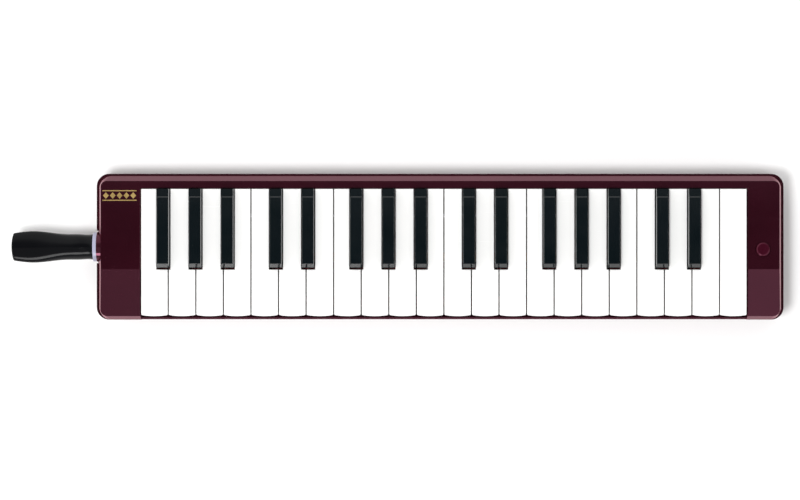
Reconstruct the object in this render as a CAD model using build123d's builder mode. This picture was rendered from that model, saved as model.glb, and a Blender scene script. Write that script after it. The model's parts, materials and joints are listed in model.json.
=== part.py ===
from build123d import *

import math
import os

# A 37-key melodica, F3 to F6. Millimetres. The underside rests on z = 0, and the origin is the middle
# of the casing's footprint. +X runs to the treble end, +Y away from the player, +Z up.

# ---- casing ----
CASE_LENGTH = 484.2
CASE_DEPTH = 102.8
CASE_TOP = 40.0
PARTING_Z = 20.0
WALL = 2.2
FRONT_RIM = 2.0  # thickness of the wall in front of the key tips
FRONT_RIM_TOP = 31.0
RIM_CHAMFER = 0.9
RIM_SETBACK = 0.5  # the wall in front of the keys stands back from the cheeks
CORNER_RADIUS = 8.8
BEVEL_RISE = 8.2  # height of the bevel round the top face, above a narrow ledge
LEDGE = 1.0
SIDE_BEVEL = 3.6  # width of ledge and bevel together
REAR_BEVEL = 5.2
FRONT_BEVEL = 3.1
BEVEL_CORNER = 4.0
CREASE_Y = -15.8  # in front of this line the cheeks slope down to the player
FRONT_TOP = 38.5  # height that the sloping cheeks would reach at the casing's front
BOTTOM_ROUNDING = 3.0
RAIL_FRONT = 40.9  # front edge of the rail behind the keys
CAVITY_TOP = 37.3

HALF_LENGTH = CASE_LENGTH / 2
HALF_DEPTH = CASE_DEPTH / 2
INNER_X = HALF_LENGTH - WALL
INNER_Y = HALF_DEPTH - WALL
OPENING_FRONT = FRONT_RIM - HALF_DEPTH

# ---- keyboard ----
FIELD_LEFT = -210.3
WHITE_PITCH = 19.36
WHITE_COUNT = 22
SEMITONE = WHITE_PITCH * 7 / 12
KEY_COUNT = 37
BLACK_SHIFT = -1.0
FIELD_RIGHT = FIELD_LEFT + WHITE_PITCH * WHITE_COUNT
CHEEK_GAP = 0.4
OPENING_LEFT = FIELD_LEFT - CHEEK_GAP
OPENING_RIGHT = FIELD_RIGHT + CHEEK_GAP
NOTES = ["f", "f_sharp", "g", "g_sharp", "a", "a_sharp", "b", "c", "c_sharp", "d", "d_sharp", "e"]
FIRST_OCTAVE = 3

HALF_WHITE_GAP = 0.4
WHITE_TOP = 41.0
KEY_BASE = 32.0
KEY_REAR = 40.6
WHITE_TIP = -48.75
WHITE_CORNER = -47.95
WHITE_CEILING = 38.8
WHITE_SKIRT = 1.6
NOTCH_FRONT = -16.0
NOTCH_HALF = 4.9
BLACK_HALF = 4.5
BLACK_TOP_HALF = 4.05
BLACK_TOP = 48.0
BLACK_FRONT = -15.0
BLACK_SKIRT = 1.4
TAIL_HALF = 4.1
PAD_BASE = 27.55
PAD_HALF = 3.7
GLUE_LINE = 0.02

# ---- wind chamber ----
CHAMBER_FRONT = -16.0
CHAMBER_REAR = 41.2
CHAMBER_LEFT = OPENING_LEFT + 0.3
CHAMBER_RIGHT = OPENING_RIGHT - 0.3
TRAY_BASE = 5.6
TRAY_FLOOR = 7.6
TRAY_TOP = 14.0
PLATE_BASE = 14.8
PLATE_TOP = 15.8
BLOCK_TOP = 27.5
CELL_FRONT = -10.0
CELL_REAR = 39.4
CELL_HALF = 4.0
CELL_CEILING = 25.5
SLOT_FRONT = 32.0
SLOT_REAR = 39.4
SLOT_HALF = 2.2
EAR_SPOTS = [-180.0, -70.0, 60.0, 170.0]
EAR_WIDTH = 9.0
EAR_TOP = 18.3
EAR_SIDES = [(CHAMBER_FRONT - 7.0, CHAMBER_FRONT), (CHAMBER_REAR, CHAMBER_REAR + 6.6)]
EAR_SCREWS = [(x, y) for x in EAR_SPOTS for y in (CHAMBER_FRONT - 3.8, CHAMBER_REAR + 3.4)]
POST_HALF = 2.0
INLET_NECK_END = -235.2
INLET_NECK_SIDES = (-12.7, 11.3)
DRAIN_NECK_END = 237.0
DRAIN_NECK_SIDES = (-11.8, 8.2)
TRAY_RIBS = [-200.0, -165.0, 0.0, 45.0, 90.0, 145.0, 200.0]
RECESS_RIBS = [-120.0, -85.0, -45.0]
GUSSET_TOP = 12.0
RAIL_GUSSETS = [-190.0, -140.0, -60.0, 40.0, 90.0, 150.0, 200.0]
LOWEST_REED = 33.0
HIGHEST_REED = 13.0
REED_TIP = 28.0
TONGUE_WIDTH = 2.2
TONGUE_THICKNESS = 0.3
RIVET_RADIUS = 0.6
RIVET_SETBACK = 2.4

# ---- key action ----
PIVOT_Y = 22.0
PIVOT_Z = 33.0
ROD_RADIUS = 1.5
KEY_BORE = 1.56
LOBE_RADIUS = 3.6
POST_KEYS = [0, 7, 14, 21, 28, 36]  # keys that hide a rod post
RIB_FRONT = 3.5
RIB_REAR = 5.5
RIB_BASE = 33.4
TAIL_BASE = 30.0
TAIL_OUTLINE = [(30.5, TAIL_BASE), (42.4, TAIL_BASE), (42.4, 34.5), (39.2, 34.5), (39.2, 33.0), (30.5, 33.0)]
DRAFT_TOP = 38.0
DRAFT_END = WHITE_TIP - 2.3
FRONT_DRAFT = [(WHITE_TIP - 0.2, DRAFT_TOP), (WHITE_TIP + 0.5, KEY_BASE), (DRAFT_END, KEY_BASE),
               (DRAFT_END, DRAFT_TOP)]
WHITE_ROUNDING = 0.5
BLACK_REAR_TOP = 47.4
BLACK_OUTLINE = [(BLACK_FRONT + 0.4, KEY_BASE), (BLACK_FRONT, WHITE_TOP), (-14.5, 43.8), (-12.0, BLACK_TOP),
                 (34.6, BLACK_TOP), (35.2, BLACK_REAR_TOP), (KEY_REAR, BLACK_REAR_TOP), (KEY_REAR, KEY_BASE)]
BLACK_CEILING = 43.0
BLACK_ROUNDING = 0.35
COMB_FRONT = -10.4
COMB_REAR = -4.0
COMB_THICKNESS = 0.5
FINGER_HALF = 1.5
FINGER_OUTLINE = [(-4.5, BLOCK_TOP), (-3.8, BLOCK_TOP), (4.4, 32.6), (5.6, 32.5), (5.6, 32.9), (4.3, 33.3),
                  (3.9, 33.1), (-4.5, BLOCK_TOP + 0.5)]
STOP_FRONT = -42.0
STOP_REAR = -33.0
STOP_WEB_Y = -38.5
STOP_TOP = 24.8
WHITE_FELT_TOP = 26.8
BLACK_FELT_TOP = 28.4
FIN_HALF = 7.0
FIN_TOP = 33.6

# ---- breath inlet and mouthpiece ----
INLET_Y = -0.1
INLET_Z = 27.6
INLET_RECESS = 12.2
INLET_CUP = 13.8  # radius of the recess's cup in the lower shell
INLET_CAP = 12.0  # and of its floor in the upper shell
INLET_COLLAR = 10.6
RECESS_FLOOR = -238.0
RING_FACE = -244.8
RING_SEAT = -HALF_LENGTH - 0.1
RING_RADIUS = 10.3
TUBE_RADIUS = 8.0
SOCKET_RADIUS = 6.25
SOCKET_END = -228.0
DOWNPIPE_X = -225.0
TENON_RADIUS = 6.2
MOUTH_BASE = -245.0
MOUTH_TIP = -302.4
MOUTH_SECTIONS = [
    # (x, half width, half height), from the round base to the flattened lips
    (MOUTH_BASE, 9.1, 9.1), (-254.0, 9.05, 8.85), (-262.0, 9.1, 8.3), (-268.0, 9.4, 7.6), (-274.0, 10.05, 6.85),
    (-280.0, 10.75, 6.1), (-286.0, 11.15, 5.5), (-292.0, 10.95, 5.05), (-298.0, 10.25, 4.75), (MOUTH_TIP, 9.3, 4.5),
]
TIP_ARC = 42.0  # radius of the slightly rounded end, seen from above
CHANNEL_RADIUS = 4.3
LIP_OPENING = (6.0, 2.6)
DOWNPIPE_BORE = 5.4
INLET_BOSS = -235.6
SEAL_X = -235.0
SEAL_RING = 5.5
SEAL_GROOVE = 0.78
SEAL_WIRE = 0.72

# ---- drain ----
DRAIN_X = 226.8
DRAIN_Y = -1.8
BUTTON_RADIUS = 4.9
BUTTON_TOP = 42.0
STEM_RADIUS = 1.6
SEAT_BASE = 10.5
SPRING_SEAT = 22.0
SPRING_END = 40.2
SPRING_RADIUS = 2.9
SPRING_WIRE = 0.3
SPRING_TURNS = 7
STEM_FIT = 0.06
FLANGE_TOP = 37.0
POCKET_RADIUS = 5.4
SEAT_HOLE = 3.2
OUTLET_RADIUS = 3.0
DISC_RADIUS = 4.6
DISC_THICKNESS = 1.6
DISC_BORE = 1.0

# ---- screws and strap ----
REAR_SPOTS = [(-105.0, 46.0), (5.0, 46.0), (115.0, 46.0)]
FRONT_SPOTS = [(-105.0, -46.4), (5.0, -46.4), (115.0, -46.4)]
CORNER_SPOTS = [(-231.0, -43.0), (-231.0, 43.0), (233.0, -43.0), (233.0, 43.0)]
CASE_SHANK = 1.3
CASE_HEAD = 2.7
HEAD_RECESS = 2.8
SCREW_FIT = 0.02
SMALL_SHANK = 0.9
SMALL_HEAD = 1.9
REAR_POST = 2.9
REAR_POST_TOP = 33.0
CORNER_POST = 4.0
LOWER_POST = 4.0
FRONT_POST_TOP = 25.5
CORNER_POST_TOP = 35.0
CORNER_WEB_TOP = 32.0
PILOT_TOP = 28.0  # end of the pilot holes in the rear and corner posts
LONG_SCREW = 25.0
SHORT_SCREW = 21.0
SCREW_HEAD_HEIGHT = 2.0
PARTING_GROOVE = 0.3
RECESS_LEFT = -150.0
RECESS_RIGHT = -20.0
RECESS_HALF = 17.0
RECESS_DEPTH = 3.0
STRAP_HALF = 14.0
STRAP_BASE = 1.3
STRAP_THICKNESS = 1.6
ANCHOR_BASE = 0.3
ANCHOR_SPANS = [
    # (left end, right end, and the same of the pocket that holds the strap)
    (RECESS_LEFT + 0.6, RECESS_LEFT + 15.0, RECESS_LEFT + 7.8, RECESS_LEFT + 15.0),
    (RECESS_RIGHT - 15.0, RECESS_RIGHT - 0.6, RECESS_RIGHT - 15.0, RECESS_RIGHT - 7.8),
]
STRAP_SCREWS = [(x, y) for x in (RECESS_LEFT + 4.2, RECESS_RIGHT - 4.2) for y in (-9.0, 9.0)]

os.makedirs("parts", exist_ok=True)


def publish(builder, name):
    """Label a finished piece and write it as parts/NAME.step."""
    builder.part.label = name
    export_step(builder.part, f"parts/{name}.step")


def span_box(x0, x1, y0, y1, z0, z1, mode=Mode.ADD):
    """A box given by its lowest and highest corners, in the open BuildPart."""
    with Locations(((x0 + x1) / 2, (y0 + y1) / 2, (z0 + z1) / 2)):
        Box(x1 - x0, y1 - y0, z1 - z0, mode=mode)


def post(x, y, radius, z0, z1, mode=Mode.ADD):
    """An upright round post or hole between two heights, in the open BuildPart."""
    with Locations((x, y, (z0 + z1) / 2)):
        Cylinder(radius, z1 - z0, mode=mode)


def bar_along_x(y, z, radius, x0, x1, mode=Mode.ADD):
    """A round bar or bore along X between two ends, in the open BuildPart."""
    with Locations(Location(((x0 + x1) / 2, y, z), (0, 90, 0))):
        Cylinder(radius, x1 - x0, mode=mode)


def side_prism(points, x0, x1, mode=Mode.ADD):
    """A prism along X with a (y, z) outline, in the open BuildPart."""
    with BuildSketch(Plane.YZ.offset(x0)) as outline:
        with BuildLine():
            Polyline(*points, close=True)
        make_face()
    extrude(outline.sketch, amount=x1 - x0, mode=mode)


def rounded_plan(x0, x1, y0, y1, radius):
    """A rounded rectangle in the open BuildSketch."""
    with Locations(((x0 + x1) / 2, (y0 + y1) / 2)):
        RectangleRounded(x1 - x0, y1 - y0, radius)


def bevelled_block(margin, base, top):
    """The casing's outline drawn in by a margin, with a ledge and a bevel round the top and a sloping front."""
    x, y = HALF_LENGTH - margin, HALF_DEPTH - margin
    shoulder = top - BEVEL_RISE
    with BuildPart() as block:
        with BuildSketch(Plane.XY.offset(base)):
            rounded_plan(-x, x, -y, y, CORNER_RADIUS - margin)
        extrude(amount=shoulder - base)
        with BuildSketch(Plane.XY.offset(shoulder)):
            rounded_plan(-x + LEDGE, x - LEDGE, -y, y - LEDGE, CORNER_RADIUS - margin)
        with BuildSketch(Plane.XY.offset(top)):
            rounded_plan(-x + SIDE_BEVEL, x - SIDE_BEVEL, -y + FRONT_BEVEL, y - REAR_BEVEL, BEVEL_CORNER)
        loft(ruled=True)
        drop = (CASE_TOP - FRONT_TOP) * (y + CREASE_Y) / (HALF_DEPTH + CREASE_Y)
        side_prism([(CREASE_Y, top), (-y, top - drop), (-y, top + WALL), (CREASE_Y, top + WALL)], -x, x,
                   mode=Mode.SUBTRACT)
    return block.part


def semitone_x(index):
    """Middle of a key's tail, pad, reed and slot."""
    return FIELD_LEFT + (index + 0.5) * SEMITONE + BLACK_SHIFT


def is_black(index):
    return "sharp" in NOTES[index % 12]


def note_name(index):
    """Name such as f3 or c_sharp4, with octaves that change at C."""
    return f"{NOTES[index % 12]}{FIRST_OCTAVE + (index + 5) // 12}"


def white_limits(index):
    """Left and right side of a white key at its front, and at its tail between the black keys."""
    order = sum(1 for n in range(index) if not is_black(n))
    left = FIELD_LEFT + order * WHITE_PITCH + HALF_WHITE_GAP
    right = FIELD_LEFT + (order + 1) * WHITE_PITCH - HALF_WHITE_GAP
    notch_left = index > 0 and is_black(index - 1)
    notch_right = index < KEY_COUNT - 1 and is_black(index + 1)
    rear_left = semitone_x(index - 1) + NOTCH_HALF if notch_left else left
    rear_right = semitone_x(index + 1) - NOTCH_HALF if notch_right else right
    return left, right, rear_left, rear_right


# ---- casing: upper shell ----
with BuildPart() as cavity:
    add(bevelled_block(WALL, PARTING_Z, CAVITY_TOP))
    for wall_x in (OPENING_LEFT - WALL, OPENING_RIGHT):
        span_box(wall_x, wall_x + WALL, -HALF_DEPTH, HALF_DEPTH, PARTING_Z, CASE_TOP, mode=Mode.SUBTRACT)


def on_opening(edge):
    """Whether a straight edge of the top face borders the key opening."""
    middle = edge.center()
    beside = min(abs(middle.X - OPENING_LEFT), abs(middle.X - OPENING_RIGHT)) < 0.01
    behind = abs(middle.Y - RAIL_FRONT) < 0.01 and OPENING_LEFT < middle.X < OPENING_RIGHT
    return middle.Z > FRONT_TOP - 0.1 and edge.length > 2 * WALL and (beside or behind)


def inlet_socket(cup_radius, clear_base, clear_top):
    """The round recess with its cup, collar and tube hole, less the other shell's share of them."""
    bar_along_x(INLET_Y, INLET_Z, cup_radius, -INNER_X - 0.5, INLET_BOSS)
    bar_along_x(INLET_Y, INLET_Z, INLET_RECESS, -HALF_LENGTH - 1.0, RECESS_FLOOR, mode=Mode.SUBTRACT)
    bar_along_x(INLET_Y, INLET_Z, INLET_COLLAR, -HALF_LENGTH, RECESS_FLOOR + 0.2)
    span_box(-HALF_LENGTH - 1.0, INLET_BOSS, INLET_Y - cup_radius, INLET_Y + cup_radius, clear_base,
             clear_top, mode=Mode.SUBTRACT)
    bar_along_x(INLET_Y, INLET_Z, TUBE_RADIUS + 0.1, -HALF_LENGTH, INLET_BOSS, mode=Mode.SUBTRACT)


def tongue_ring(outer, inner, z0, z1, mode):
    """A band that follows the casing's outline, between two distances in from it."""
    with BuildSketch(Plane.XY.offset(z0)) as band:
        rounded_plan(outer - HALF_LENGTH, HALF_LENGTH - outer, outer - HALF_DEPTH, HALF_DEPTH - outer,
                     CORNER_RADIUS - outer)
        RectangleRounded(CASE_LENGTH - 2 * inner, CASE_DEPTH - 2 * inner, CORNER_RADIUS - inner,
                         mode=Mode.SUBTRACT)
    extrude(band.sketch, amount=z1 - z0, mode=mode)


with BuildPart() as upper_case:
    add(bevelled_block(0, PARTING_Z, CASE_TOP))
    add(cavity.part, mode=Mode.SUBTRACT)
    span_box(OPENING_LEFT, OPENING_RIGHT, OPENING_FRONT, RAIL_FRONT, PARTING_Z, CASE_TOP, mode=Mode.SUBTRACT)
    span_box(OPENING_LEFT, OPENING_RIGHT, -HALF_DEPTH, OPENING_FRONT, FRONT_RIM_TOP, CASE_TOP,
             mode=Mode.SUBTRACT)
    chamfer([edge for edge in upper_case.edges().filter_by(GeomType.LINE) if on_opening(edge)], 0.4)
    span_box(OPENING_LEFT, OPENING_RIGHT, -HALF_DEPTH, RIM_SETBACK - HALF_DEPTH, PARTING_Z, FRONT_RIM_TOP,
             mode=Mode.SUBTRACT)
    rim_height = upper_case.edges().filter_by(Axis.X).filter_by_position(Axis.Z, FRONT_RIM_TOP, FRONT_RIM_TOP)
    chamfer(rim_height.sort_by(Axis.Y)[0], RIM_CHAMFER)
    # posts that take the casing screws, each tied to its wall by a web
    for x, y in REAR_SPOTS:
        post(x, y, REAR_POST, PARTING_Z, REAR_POST_TOP)
    for x, y in FRONT_SPOTS:
        post(x, y, REAR_POST, PARTING_Z, FRONT_POST_TOP)
        span_box(x - 1.2, x + 1.2, OPENING_FRONT - 0.2, y, PARTING_Z, FRONT_POST_TOP)
    for x, y in CORNER_SPOTS:
        post(x, y, CORNER_POST, PARTING_Z, CORNER_POST_TOP)
        wall_x = math.copysign(INNER_X + 0.5, x)
        span_box(min(x, wall_x), max(x, wall_x), y - 1.1, y + 1.1, PARTING_Z, CORNER_WEB_TOP)
    for x, y in FRONT_SPOTS:
        post(x, y, CASE_SHANK + SCREW_FIT, PARTING_Z, FRONT_POST_TOP - 1.0, mode=Mode.SUBTRACT)
    for x, y in REAR_SPOTS + CORNER_SPOTS:
        post(x, y, CASE_SHANK + SCREW_FIT, PARTING_Z, PILOT_TOP, mode=Mode.SUBTRACT)
    inlet_socket(INLET_CAP, 0, PARTING_Z)
    post(DRAIN_X, DRAIN_Y, BUTTON_RADIUS + 0.3, CAVITY_TOP - 1.0, CASE_TOP + 1.0, mode=Mode.SUBTRACT)
    tongue_ring(1.1, 2.7, PARTING_Z, PARTING_Z + 1.4, Mode.SUBTRACT)
publish(upper_case, "upper_case")

# ---- casing: lower shell ----
with BuildPart() as lower_case:
    with BuildSketch():
        rounded_plan(-HALF_LENGTH, HALF_LENGTH, -HALF_DEPTH, HALF_DEPTH, CORNER_RADIUS)
    extrude(amount=PARTING_Z)
    fillet(lower_case.faces().sort_by(Axis.Z)[0].edges(), BOTTOM_ROUNDING)
    chamfer(lower_case.faces().sort_by(Axis.Z)[-1].edges(), PARTING_GROOVE)
    with BuildSketch(Plane.XY.offset(WALL)):
        rounded_plan(-INNER_X, INNER_X, -INNER_Y, INNER_Y, CORNER_RADIUS - WALL)
    extrude(amount=PARTING_Z, mode=Mode.SUBTRACT)
    tongue_ring(1.2, WALL, PARTING_Z - 1.0, PARTING_Z + 1.2, Mode.ADD)
    # floor raised over the hand strap's recess
    span_box(RECESS_LEFT - WALL, RECESS_RIGHT + WALL, -RECESS_HALF - WALL, RECESS_HALF + WALL, 0,
             RECESS_DEPTH + WALL)
    with BuildSketch():
        rounded_plan(RECESS_LEFT, RECESS_RIGHT, -RECESS_HALF, RECESS_HALF, 4.0)
    extrude(amount=RECESS_DEPTH, mode=Mode.SUBTRACT)
    # ribs that carry the wind tray
    for x in TRAY_RIBS:
        span_box(x - 0.9, x + 0.9, CHAMBER_FRONT + 2.0, CHAMBER_REAR - 2.0, WALL / 2, TRAY_BASE)
    for x in RECESS_RIBS:
        span_box(x - 0.9, x + 0.9, RECESS_HALF + WALL / 2, CHAMBER_REAR - 2.0, WALL / 2, TRAY_BASE)
    # rail under the white keys' front, with one guide fin inside each white key
    span_box(OPENING_LEFT, OPENING_RIGHT, STOP_WEB_Y - 1.1, STOP_WEB_Y + 1.1, WALL / 2, STOP_TOP - 1.0)
    span_box(OPENING_LEFT, OPENING_RIGHT, STOP_FRONT, STOP_REAR, STOP_TOP - 1.8, STOP_TOP)
    for x in RAIL_GUSSETS:
        span_box(x - 1.0, x + 1.0, -INNER_Y - 0.5, CHAMBER_FRONT - 9.0, WALL / 2, GUSSET_TOP)
    for order in range(WHITE_COUNT):
        x = FIELD_LEFT + (order + 0.5) * WHITE_PITCH
        span_box(x - FIN_HALF, x + FIN_HALF, STOP_REAR - 2.0, STOP_REAR, STOP_TOP - 1.0, FIN_TOP)
    # screw posts with their recessed heads
    for x, y in REAR_SPOTS + FRONT_SPOTS + CORNER_SPOTS:
        post(x, y, LOWER_POST if (x, y) in CORNER_SPOTS else LOWER_POST - 0.6, WALL / 2, PARTING_Z)
    for x, y in REAR_SPOTS + FRONT_SPOTS + CORNER_SPOTS:
        post(x, y, CASE_SHANK + 0.3, 0, PARTING_Z + 2.0, mode=Mode.SUBTRACT)
        post(x, y, CASE_HEAD + 0.25, 0, HEAD_RECESS, mode=Mode.SUBTRACT)
    # pilot holes for the strap screws
    for x, y in STRAP_SCREWS:
        post(x, y, SMALL_SHANK + SCREW_FIT, RECESS_DEPTH, RECESS_DEPTH + 1.9, mode=Mode.SUBTRACT)
    # collar and outlet under the drain
    post(DRAIN_X, DRAIN_Y, POCKET_RADIUS + 1.6, WALL / 2, TRAY_BASE)
    post(DRAIN_X, DRAIN_Y, POCKET_RADIUS, WALL, TRAY_BASE, mode=Mode.SUBTRACT)
    post(DRAIN_X, DRAIN_Y, OUTLET_RADIUS, 0, WALL, mode=Mode.SUBTRACT)
    inlet_socket(INLET_CUP, PARTING_Z, CASE_TOP + WALL)
publish(lower_case, "lower_case")

# ---- wind tray: the chamber under the reeds, with a neck at each end ----
with BuildPart() as wind_tray:
    span_box(CHAMBER_LEFT, CHAMBER_RIGHT, CHAMBER_FRONT, CHAMBER_REAR, TRAY_BASE, TRAY_TOP)
    span_box(INLET_NECK_END, CHAMBER_LEFT + 1.0, *INLET_NECK_SIDES, TRAY_BASE, TRAY_TOP)
    span_box(CHAMBER_RIGHT - 1.0, DRAIN_NECK_END, *DRAIN_NECK_SIDES, TRAY_BASE, TRAY_TOP)
    fillet(wind_tray.edges().filter_by(Axis.Z).sort_by(Axis.X)[:2], 2.0)
    fillet(wind_tray.edges().filter_by(Axis.Z).sort_by(Axis.X)[-2:], 2.0)
    span_box(CHAMBER_LEFT + 2.0, CHAMBER_RIGHT - 2.0, CHAMBER_FRONT + 2.0, CHAMBER_REAR - 2.0, TRAY_FLOOR,
             TRAY_TOP, mode=Mode.SUBTRACT)
    span_box(INLET_NECK_END + 2.0, CHAMBER_LEFT - 1.0, INLET_NECK_SIDES[0] + 2.0, INLET_NECK_SIDES[1] - 2.0,
             TRAY_FLOOR, TRAY_TOP, mode=Mode.SUBTRACT)
    span_box(CHAMBER_RIGHT + 1.0, DRAIN_NECK_END - 2.0, DRAIN_NECK_SIDES[0] + 2.0, DRAIN_NECK_SIDES[1] - 2.0,
             TRAY_FLOOR, TRAY_TOP, mode=Mode.SUBTRACT)
    for end_x in (CHAMBER_LEFT, CHAMBER_RIGHT):
        span_box(end_x - 2.5, end_x + 2.5, -8.0, 6.0, TRAY_FLOOR, TRAY_TOP - 2.0, mode=Mode.SUBTRACT)
    # seat of the drain valve
    post(DRAIN_X, DRAIN_Y, POCKET_RADIUS + 1.6, TRAY_BASE, SEAT_BASE + 1.5)
    post(DRAIN_X, DRAIN_Y, POCKET_RADIUS, TRAY_BASE, SEAT_BASE, mode=Mode.SUBTRACT)
    post(DRAIN_X, DRAIN_Y, SEAT_HOLE, TRAY_BASE, SEAT_BASE + 1.5, mode=Mode.SUBTRACT)
    # ears that take the chamber screws
    for x in EAR_SPOTS:
        for near, far in EAR_SIDES:
            span_box(x - EAR_WIDTH / 2, x + EAR_WIDTH / 2, near, far, TRAY_TOP - 3.5, PLATE_TOP)
    for x, y in EAR_SCREWS:
        post(x, y, SMALL_SHANK + SCREW_FIT, TRAY_TOP - 2.5, PLATE_TOP, mode=Mode.SUBTRACT)
publish(wind_tray, "wind_tray")

with BuildPart() as chamber_gasket:
    span_box(CHAMBER_LEFT, CHAMBER_RIGHT, CHAMBER_FRONT, CHAMBER_REAR, TRAY_TOP, PLATE_BASE)
    span_box(CHAMBER_LEFT + 2.6, CHAMBER_RIGHT - 2.6, CHAMBER_FRONT + 2.6, CHAMBER_REAR - 2.6, TRAY_TOP,
             PLATE_BASE, mode=Mode.SUBTRACT)
publish(chamber_gasket, "chamber_gasket")


# ---- reeds ----
def reed_length(index):
    """Free length of a tongue, shorter by the same factor at each semitone."""
    return LOWEST_REED * (HIGHEST_REED / LOWEST_REED) ** (index / (KEY_COUNT - 1))


with BuildPart() as reed_plate:
    span_box(CHAMBER_LEFT, CHAMBER_RIGHT, CHAMBER_FRONT, CHAMBER_REAR, PLATE_BASE, PLATE_TOP)
    with BuildSketch(Plane.XY.offset(PLATE_BASE)):
        for index in range(KEY_COUNT):
            length = reed_length(index)
            with Locations((semitone_x(index), REED_TIP - length / 2)):
                Rectangle(TONGUE_WIDTH + 0.4, length + 0.4)
            with Locations((semitone_x(index), REED_TIP - length - RIVET_SETBACK)):
                Circle(RIVET_RADIUS + SCREW_FIT)
    extrude(amount=PLATE_TOP - PLATE_BASE, mode=Mode.SUBTRACT)
publish(reed_plate, "reed_plate")

with BuildPart() as reed_tongues:
    with BuildSketch(Plane.XY.offset(PLATE_BASE - TONGUE_THICKNESS)):
        for index in range(KEY_COUNT):
            length = reed_length(index)
            with Locations((semitone_x(index), REED_TIP - length / 2)):
                Rectangle(TONGUE_WIDTH, length)
            with Locations((semitone_x(index), REED_TIP - length - RIVET_SETBACK)):
                Rectangle(TONGUE_WIDTH + 2.0, 2 * RIVET_SETBACK + 0.2)
                Circle(RIVET_RADIUS + SCREW_FIT, mode=Mode.SUBTRACT)
    extrude(amount=TONGUE_THICKNESS)
publish(reed_tongues, "reed_tongues")

with BuildPart() as reed_rivets:
    for index in range(KEY_COUNT):
        y = REED_TIP - reed_length(index) - RIVET_SETBACK
        tongue_base = PLATE_BASE - TONGUE_THICKNESS
        post(semitone_x(index), y, RIVET_RADIUS, tongue_base, PLATE_TOP)
        post(semitone_x(index), y, RIVET_RADIUS + 0.6, tongue_base - 0.5, tongue_base)
publish(reed_rivets, "reed_rivets")

with BuildPart() as reed_block:
    span_box(CHAMBER_LEFT, CHAMBER_RIGHT, CHAMBER_FRONT, CHAMBER_REAR, PLATE_TOP, BLOCK_TOP)
    with BuildSketch(Plane.XY.offset(PLATE_TOP)):
        for index in range(KEY_COUNT):
            with Locations((semitone_x(index), (CELL_FRONT + CELL_REAR) / 2)):
                Rectangle(2 * CELL_HALF, CELL_REAR - CELL_FRONT)
    extrude(amount=CELL_CEILING - PLATE_TOP, mode=Mode.SUBTRACT)
    with BuildSketch(Plane.XY.offset(CELL_CEILING)):
        for index in range(KEY_COUNT):
            with Locations((semitone_x(index), (SLOT_FRONT + SLOT_REAR) / 2)):
                SlotOverall(SLOT_REAR - SLOT_FRONT, 2 * SLOT_HALF, rotation=90)
    extrude(amount=BLOCK_TOP - CELL_CEILING, mode=Mode.SUBTRACT)
    for x in EAR_SPOTS:
        for near, far in EAR_SIDES:
            span_box(x - EAR_WIDTH / 2, x + EAR_WIDTH / 2, near, far, PLATE_TOP, EAR_TOP)
    for x, y in EAR_SCREWS:
        post(x, y, SMALL_SHANK + 0.2, PLATE_TOP, EAR_TOP, mode=Mode.SUBTRACT)
    # posts that hold the pivot rod, inside hollow white keys
    for index in POST_KEYS:
        x = semitone_x(index)
        span_box(x - POST_HALF, x + POST_HALF, PIVOT_Y - 3.0, PIVOT_Y + 3.0, BLOCK_TOP, PIVOT_Z)
        bar_along_x(PIVOT_Y, PIVOT_Z, 3.0, x - POST_HALF, x + POST_HALF)
    bar_along_x(PIVOT_Y, PIVOT_Z, ROD_RADIUS + SCREW_FIT, OPENING_LEFT, OPENING_RIGHT, mode=Mode.SUBTRACT)
publish(reed_block, "reed_block")

# ---- pivot rod, spring comb and stop felts ----
with BuildPart() as pivot_rod:
    bar_along_x(PIVOT_Y, PIVOT_Z, ROD_RADIUS, OPENING_LEFT + 0.5, OPENING_RIGHT - 0.5)
    chamfer(pivot_rod.edges().filter_by(GeomType.CIRCLE), 0.4)
publish(pivot_rod, "pivot_rod")

with BuildPart() as key_spring_comb:
    span_box(CHAMBER_LEFT + 1.0, semitone_x(KEY_COUNT - 1) + 6.0, COMB_FRONT, COMB_REAR, BLOCK_TOP,
             BLOCK_TOP + COMB_THICKNESS)
    for index in range(KEY_COUNT):
        x = semitone_x(index)
        side_prism(FINGER_OUTLINE, x - FINGER_HALF, x + FINGER_HALF)
publish(key_spring_comb, "key_spring_comb")

with BuildPart() as key_stop_felts:
    span_box(OPENING_LEFT + 1.0, OPENING_RIGHT - 1.0, STOP_FRONT, STOP_REAR - 2.2, STOP_TOP, WHITE_FELT_TOP)
    span_box(CHAMBER_LEFT + 1.0, CHAMBER_RIGHT - 1.0, CHAMBER_FRONT + 0.5, COMB_FRONT - 0.5, BLOCK_TOP,
             BLACK_FELT_TOP)
publish(key_stop_felts, "key_stop_felts")


# ---- keys ----
def tail_and_pad(index, left, right, skirt):
    """Tail under the rail, pivot lobes, spring rib and rod bore of a key, and its separate pad."""
    x = semitone_x(index)
    side_prism(TAIL_OUTLINE, x - TAIL_HALF, x + TAIL_HALF)
    for side_x in (left, right - skirt):
        bar_along_x(PIVOT_Y, PIVOT_Z, LOBE_RADIUS, side_x, side_x + skirt)
    span_box(x - 2.0, x + 2.0, RIB_FRONT, RIB_REAR, RIB_BASE, WHITE_CEILING + 1.0)
    bar_along_x(PIVOT_Y, PIVOT_Z, KEY_BORE, left - 1.0, right + 1.0, mode=Mode.SUBTRACT)
    # the pad, a separate solid glued under the tail
    span_box(x - PAD_HALF, x + PAD_HALF, SLOT_FRONT - 1.1, SLOT_REAR + 1.1, PAD_BASE, TAIL_BASE - GLUE_LINE)


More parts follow.
